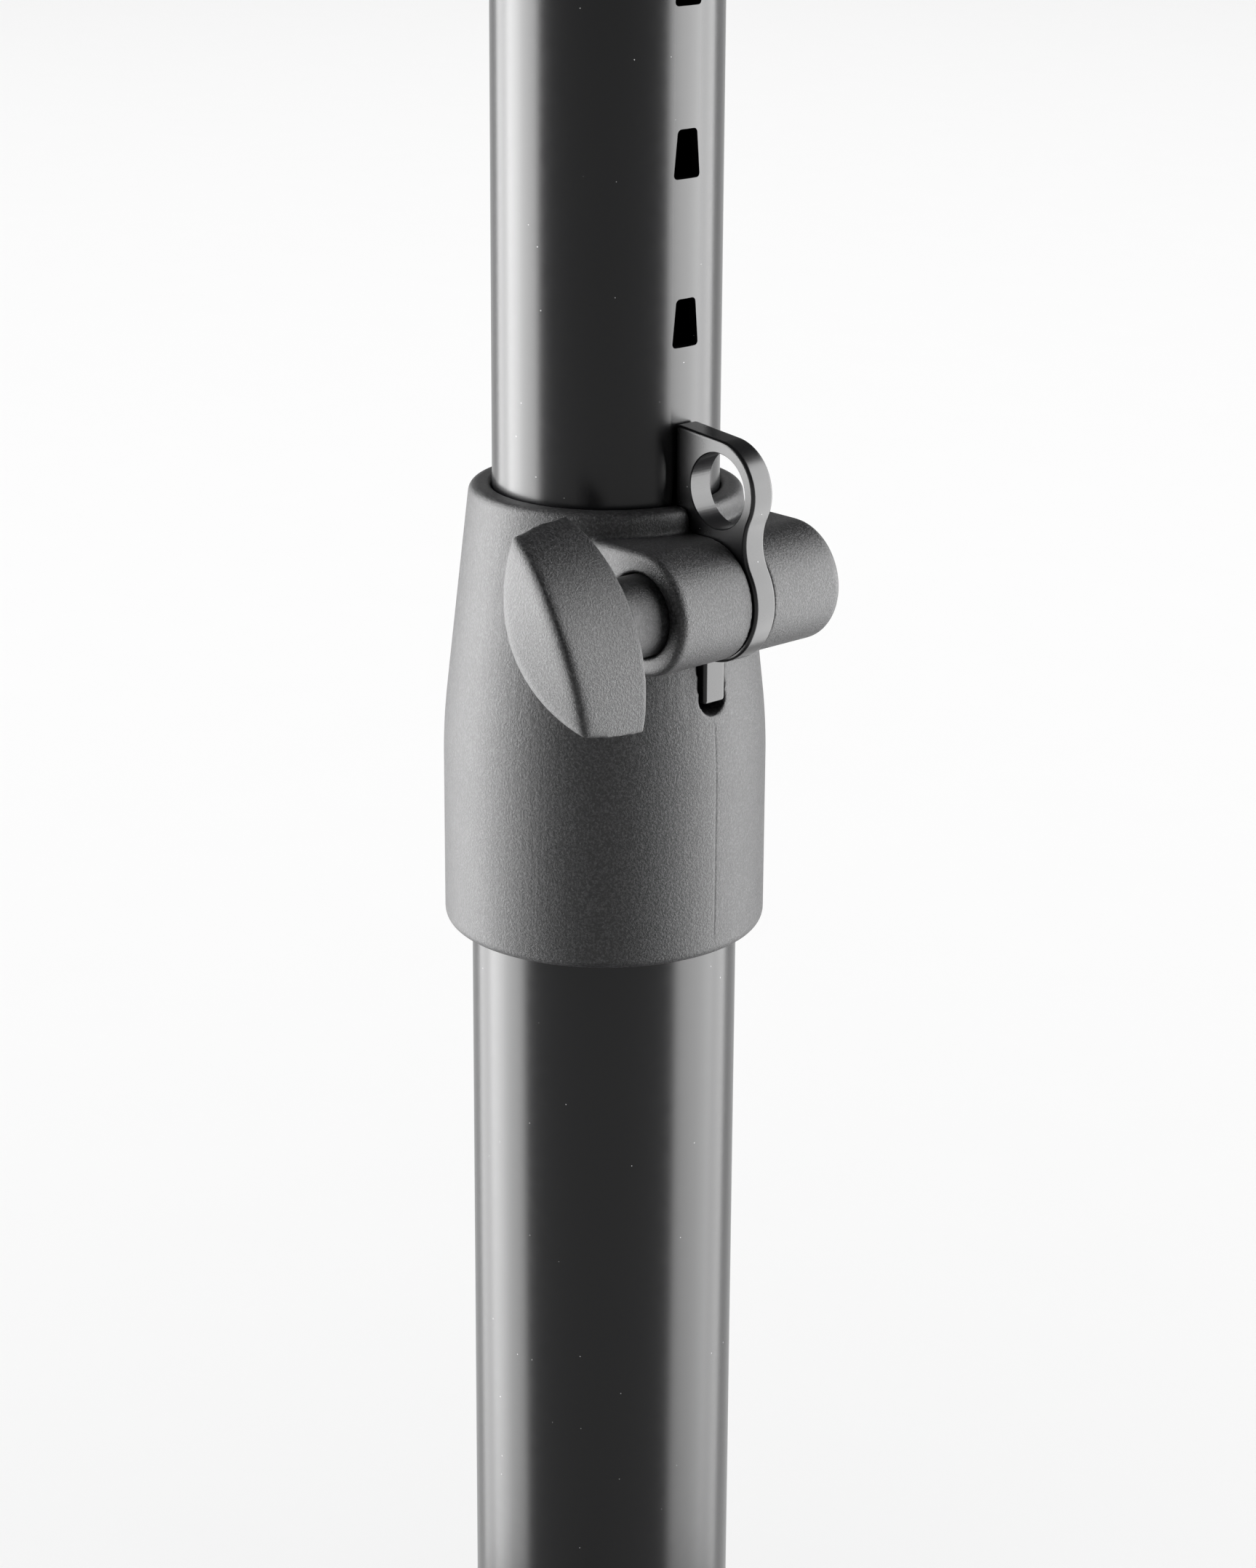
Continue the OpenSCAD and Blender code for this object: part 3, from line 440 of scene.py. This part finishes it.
def makeTube(nodeName, pieceName):
    low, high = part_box(nodeName)
    bpy.ops.mesh.primitive_cylinder_add(
        vertices=tubes["sides"], radius=high.x, depth=high.z - low.z,
        end_fill_type="NOTHING", location=(0, 0, (low.z + high.z) / 2))
    tube = bpy.context.active_object
    tube.name = pieceName
    useModifier(tube, "SOLIDIFY", thickness=tubes["wall"] * mm, offset=-1)
    useModifier(tube, "BEVEL", width=tubes["endRound"] * mm, segments=meshing["roundSteps"],
                limit_method="ANGLE", angle_limit=math.radians(meshing["sharpFrom"]))
    return tube


def notchCutter(top):
    n = notches
    bpy.ops.mesh.primitive_cube_add(
        size=1, location=(n["cutMiddle"] * mm, 0, top - n["height"] * mm / 2),
        scale=(n["cutLength"] * mm, n["bottomWidth"] * mm, n["height"] * mm))
    cutter = bpy.context.active_object
    bpy.ops.object.transform_apply(location=True, rotation=True, scale=True)
    for corner in cutter.data.vertices:
        if corner.co.z > top - n["height"] * mm / 2:
            corner.co.y *= n["topWidth"] / n["bottomWidth"]
    roundAlong(cutter, 0, n["cutLength"] / 2, n["cornerRound"], n["cornerSteps"])
    return cutter


def makeUpperTube():
    tube = makeTube("inner_tube", "upperTube")
    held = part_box("clamp_collar")[1].z + notches["firstUp"] * mm
    for step in range(-notches["each"], notches["each"] + 1):
        cutAway(tube, notchCutter(held + step * notches["pitch"] * mm))
    return tube


finishPiece(makeTube("outer_tube", "lowerTube"), "stand_base", "outer_tube", "tube_coat")
finishPiece(makeUpperTube(), "upper_column", "inner_tube", "tube_coat")
print("Tubes made")


# Clamp collar, moulded in one with its barrel

collar = {
    "voxel": 0.3,
    "softening": 4,
    "kept": 0.28,         # part of the faces that is left
    "seamHalf": 0.07,     # parting line of the mould, under the slot
    "seamDepth": 0.08,
    "seamTop": 33.5,      # under the collar's top
    "seamFoot": 2.5,      # over its lower edge
    "seamWall": 22.5,     # the wall that it is in lies further from the axis than this
    "seamBand": 1.5,      # faces this close to it are cut
    "onSeam": 0.01,
}


def scoreSeam(piece):
    low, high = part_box("clamp_collar")
    foot = low.z + collar["seamFoot"] * mm
    top = high.z - collar["seamTop"] * mm
    half = collar["seamHalf"] * mm

    def nearSeam(point, band="seamBand"):
        return (point.x > collar["seamWall"] * mm and abs(point.y) < collar[band] * mm
                and point.z < top)

    for line in (-half, 0, half):
        selectFaces(piece, nearSeam)
        bpy.ops.mesh.bisect(plane_co=(0, line, 0), plane_no=(0, 1, 0))
    bpy.ops.object.mode_set(mode="OBJECT")
    for point in piece.data.vertices:
        if nearSeam(point.co, "onSeam") and point.co.z > foot:
            point.co.x -= collar["seamDepth"] * mm


def makeCollar():
    piece = mergedCopy("clamp_collar", "clampCollar")
    remeshSoft(piece, collar["voxel"], collar["softening"])
    useModifier(piece, "DECIMATE", ratio=collar["kept"])
    scoreSeam(piece)
    return piece


finishPiece(makeCollar(), "stand_base", "clamp_collar", "nylon", meshing["smoothAllRound"])
print("Collar made")


# Wing of the clamp screw

wing = {
    "length": 34,
    "thick": 13.6,
    "dome": 3.35,         # tips of the outer face lie this far behind its middle
    "lean": 120.2,        # degrees
    "voxel": 0.22,
    "softening": 12,
    "rimReach": 4.2,      # width of the band along the outer rim that is rounded
    "rimFade": 2,
    "rimSoftening": 200,
}


def makeWing():
    piece = mergedCopy("wing_knob", "wingKnob")
    low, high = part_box("wing_knob")
    middle = (low + high) / 2
    remeshSoft(piece, wing["voxel"], wing["softening"])
    lean = math.radians(wing["lean"])
    rim = piece.vertex_groups.new(name="outerRim")
    for point in piece.data.vertices:
        x, z = (point.co.x - middle.x) / mm, (point.co.z - middle.z) / mm
        along = (x * math.cos(lean) + z * math.sin(lean)) / (wing["length"] / 2)
        across = abs(z * math.cos(lean) - x * math.sin(lean))
        behind = (point.co.y - low.y) / mm
        away = math.hypot(across - wing["thick"] / 2 * (1 - along ** 2),
                          behind - wing["dome"] * along ** 2)
        weight = (wing["rimReach"] - away) / wing["rimFade"]
        if weight > 0:
            rim.add([point.index], min(1, weight), "REPLACE")
    soften(piece, wing["rimSoftening"], vertex_group="outerRim")
    return piece


finishPiece(makeWing(), "clamp_screw", "wing_knob", "nylon", meshing["smoothAllRound"])
print("Wing made")


# Latch plate

latch = {
    "thick": 4.2,
    "edgeRound": 0.55,
    "edgeSteps": 4,
    "ringUp": 16.65,      # finger hole's middle over the barrel's axis
    "ringOut": 1.2,
    "ringHole": 5.75,     # its radius
    "ringBreak": 0.3,     # its broken edge
    "coneSides": 128,
    "barrelDown": 12.95,  # barrel's axis under the collar's top, and out from the tube's
    "barrelOut": 25.5,
}


def breakRing(piece, ringX, ringZ):  # a cone of 45 degrees at each end of the finger hole
    wide = latch["ringBreak"]
    for side in (-1, 1):
        bpy.ops.mesh.primitive_cone_add(
            vertices=latch["coneSides"], depth=2 * wide * mm,
            radius1=(latch["ringHole"] - wide / 2) * mm,
            radius2=(latch["ringHole"] + 1.5 * wide) * mm,
            location=(ringX, side * latch["thick"] / 2 * mm, ringZ),
            rotation=(-side * math.radians(90), 0, 0))
        cutter = bpy.context.active_object
        bpy.ops.object.transform_apply(location=True, rotation=True, scale=True)
        cutAway(piece, cutter)


def makeLatch():
    piece = mergedCopy("latch_lever", "latchLever")
    ringX = (latch["barrelOut"] + latch["ringOut"]) * mm
    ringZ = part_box("clamp_collar")[1].z + (latch["ringUp"] - latch["barrelDown"]) * mm
    rim = (latch["ringHole"] + latch["ringBreak"] / 2) * mm
    roundSharp(piece, latch["edgeRound"], latch["edgeSteps"],
               lambda point: math.hypot(point.x - ringX, point.z - ringZ) > rim)
    breakRing(piece, ringX, ringZ)
    flattenNormals(piece)
    return piece


finishPiece(makeLatch(), "latch", "latch_lever", "latch_coat")
print("Latch made")


# Latch spring, smoothed by one subdivision; it stays where it is packed and is not twisted with the
# latch


def makeSpring():
    piece = mergedCopy("latch_spring", "latchSpring")
    useModifier(piece, "SUBSURF", levels=1)
    return finishPiece(piece, None, "latch_spring", "spring_steel", meshing["smoothAllRound"])


def twistSpring(piece):
    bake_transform(piece)


twistSpring(makeSpring())
print("Spring made")


# Rubber pads on the tray, with grip grooves

pad = {
    "wide": 42,
    "deep": 24,
    "thick": 2.5,
    "corner": 6,
    "cornerSteps": 8,
    "edgeRound": 0.6,
    "grooves": 7,
    "groovePitch": 2.6,
    "grooveRadius": 0.7,
    "grooveSides": 16,
    "grooveEnd": 4,       # bare end beside the grooves
}


def makePad():
    p = pad
    bpy.ops.mesh.primitive_cube_add(size=1, scale=(p["wide"] * mm, p["deep"] * mm, p["thick"] * mm))
    piece = bpy.context.active_object
    bpy.ops.object.transform_apply(location=True, rotation=True, scale=True)
    roundAlong(piece, 2, p["thick"] / 2, p["corner"], p["cornerSteps"])
    roundSharp(piece, p["edgeRound"], wanted=lambda point: point.z > 0)
    bpy.ops.mesh.primitive_cylinder_add(
        vertices=p["grooveSides"], radius=p["grooveRadius"] * mm,
        depth=(p["wide"] - 2 * p["grooveEnd"]) * mm,
        location=(0, -(p["grooves"] - 1) / 2 * p["groovePitch"] * mm, p["thick"] / 2 * mm),
        rotation=(0, math.radians(90), 0))
    cutter = bpy.context.active_object
    bpy.ops.object.transform_apply(location=True, rotation=True, scale=True)
    useModifier(cutter, "ARRAY", count=p["grooves"], use_relative_offset=False,
                use_constant_offset=True, constant_offset_displace=(0, p["groovePitch"] * mm, 0))
    cutAway(piece, cutter)
    return piece


def makePads():
    first = makePad()
    low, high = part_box("tray_pads")
    across = high.x - pad["wide"] / 2 * mm
    along = high.y - pad["deep"] / 2 * mm
    copies = []
    for x in (-across, across):
        for y in (-along, along):
            copy = bpy.data.objects.new("trayPads", first.data.copy())
            bpy.context.scene.collection.objects.link(copy)
            copy.location = (x, y, (low.z + high.z) / 2)
            copies.append(copy)
    bpy.data.objects.remove(first)
    activate(copies[0])
    for copy in copies:
        copy.select_set(True)
    bpy.ops.object.join()
    return bpy.context.active_object


finishPiece(makePads(), "tray", "tray_pads", "rubber")
print("Tray pads made")


# Small parts with rounded or softened edges

softEdges = {             # node: (piece, body, slot, width of the rounding)
    "tray_bracket": ("trayBracket", "tray", "cast_coat", 0.6),
    "tilt_head": ("tiltHead", "upper_column", "cast_coat", 0.5),
    "base_feet": ("rubberFeet", "stand_base", "rubber", 0.5),
}
starKnob = {
    "voxel": 0.35,
    "softening": 7,
}


def makeStarKnob():
    piece = mergedCopy("tilt_knob", "starKnob")
    remeshSoft(piece, starKnob["voxel"], starKnob["softening"])
    return piece


for nodeName, (pieceName, body, slotName, width) in softEdges.items():
    soft = mergedCopy(nodeName, pieceName)
    roundSharp(soft, width)
    flattenNormals(soft)
    finishPiece(soft, body, nodeName, slotName)
finishPiece(makeStarKnob(), "tilt_clamp", "tilt_knob", "nylon", meshing["smoothAllRound"])
print("Small parts made")


# Studio: pale floor, soft light from above, tall soft strips beside the column

studio = {
    "floorColour": "#f2f2f2",
    "floorMottle": "#f1f1f1",
    "mottle": 40,
    "floorSize": 8,       # metres, as are all lengths below
    "skyColour": "#f4f4f4",
    "paleUpTo": 9,        # degrees over the horizon where the pale wall starts to fade
    "darkFrom": 16,
    "darkPart": 0.15,
    "overhead": {"size": 10, "height": 3, "behind": 0.7, "power": 382},
    "stripRadius": 0.19,  # the soft boxes stand on a circle round the column
    "stripHalfAngle": 10.5,
    "stripHeight": 0.46,
    "dimFoot": 0.4,       # part of the brightness that is left at the floor
    "fullFrom": 0.33,     # height where the strips reach their full brightness
    "strips": {           # angle from the camera's side: radiance
        -120.5: 7.5, -99.5: 19.5, -78.5: 16, 70.5: 13.5, 91.5: 12.8, 112.5: 8,
    },
}


def makeFloor():
    bpy.ops.mesh.primitive_plane_add(size=studio["floorSize"], location=(0, 0, 0))
    floor = bpy.context.active_object
    floor.name = "paleFloor"
    # Matte studio paper: no shine, and a mottle that barely shows
    material, tree, shader, place = startMaterial(
        "matteStudioPaper", {"Roughness": 0.9, "Specular IOR Level": 0})
    pulp = addNode(tree, "ShaderNodeTexNoise", {"Scale": perMetre(studio["mottle"]), "Detail": 3},
                   {"Vector": place})
    colour = addNode(tree, "ShaderNodeMix", {"data_type": "RGBA", 6: toLinear(studio["floorColour"]),
                     7: toLinear(studio["floorMottle"])}, {0: pulp.outputs["Fac"]})
    tree.links.new(colour.outputs[2], shader.inputs["Base Color"])
    floor.data.materials.append(material)
    return floor


def addPanel(name, width, height, power, place, target):
    light = bpy.data.lights.new(name, "AREA")
    light.shape = "RECTANGLE"
    light.size = width
    light.size_y = height
    light.energy = power
    panel = bpy.data.objects.new(name, light)
    bpy.context.scene.collection.objects.link(panel)
    panel.location = place
    panel.rotation_euler = (Vector(target) - Vector(place)).to_track_quat("-Z", "Y").to_euler()
    panel.visible_camera = False
    return panel


def makeSky():  # pale walls low down, black cloth above them
    world = bpy.data.worlds.new("paleStudio")
    world.use_nodes = True
    tree = world.node_tree
    sky = tree.nodes["Background"]
    sky.inputs["Color"].default_value = toLinear(studio["skyColour"])
    way = addNode(tree, "ShaderNodeTexCoord", {}).outputs["Generated"]
    rise = addNode(tree, "ShaderNodeSeparateXYZ", {}, {"Vector": way})
    fade = addNode(tree, "ShaderNodeMapRange", {
        "From Min": math.sin(math.radians(studio["paleUpTo"])),
        "From Max": math.sin(math.radians(studio["darkFrom"])),
        "To Min": 1, "To Max": studio["darkPart"]}, {"Value": rise.outputs["Z"]})
    tree.links.new(fade.outputs["Result"], sky.inputs["Strength"])
    bpy.context.scene.world = world


def lightOnly(light, name, pieces):
    group = bpy.data.collections.new(name)
    for piece in pieces:
        group.objects.link(piece)
    light.light_linking.receiver_collection = group


def dimFoot(light):  # a strip glows less near the floor
    light.use_nodes = True
    tree = light.node_tree
    place = addNode(tree, "ShaderNodeNewGeometry", {})
    height = addNode(tree, "ShaderNodeSeparateXYZ", {}, {"Vector": place.outputs["Position"]})
    glow = addNode(tree, "ShaderNodeMapRange", {"From Max": studio["fullFrom"],
                   "To Min": studio["dimFoot"], "To Max": 1}, {"Value": height.outputs["Z"]})
    tree.links.new(glow.outputs["Result"], tree.nodes["Emission"].inputs["Strength"])


def lightStudio(floor):
    makeSky()
    # Bright metal, and the two plates close to the strips, would burn out in their light
    glaring = [finishes[name] for name in ("zinc_steel", "spring_steel", "brass_insert", "plate_coat")]
    stand = [piece for piece in bpy.context.scene.objects if piece.type == "MESH" and piece != floor
             and piece.active_material not in glaring]
    top = studio["overhead"]
    above = cameraAhead * top["behind"] + Vector((0, 0, top["height"]))
    lamp = addPanel("overheadSoftLight", top["size"], top["size"], top["power"], above,
                    (above.x, above.y, 0))
    lightOnly(lamp, "litFromAbove", [floor])
    middle = studio["stripHeight"] / 2
    width = 2 * studio["stripRadius"] * math.tan(math.radians(studio["stripHalfAngle"]))
    for degrees, radiance in studio["strips"].items():
        angle = math.radians(degrees)
        way = -cameraAhead * math.cos(angle) + cameraSide * math.sin(angle)
        power = radiance * math.pi * width * studio["stripHeight"]
        strip = addPanel("softStrip", width, studio["stripHeight"], power,
                         way * studio["stripRadius"] + Vector((0, 0, middle)), (0, 0, middle))
        dimFoot(strip.data)
        lightOnly(strip, strip.name + "Targets", stand)


lightStudio(makeFloor())
bpy.context.scene.view_settings.view_transform = "Standard"
print("Studio lit")
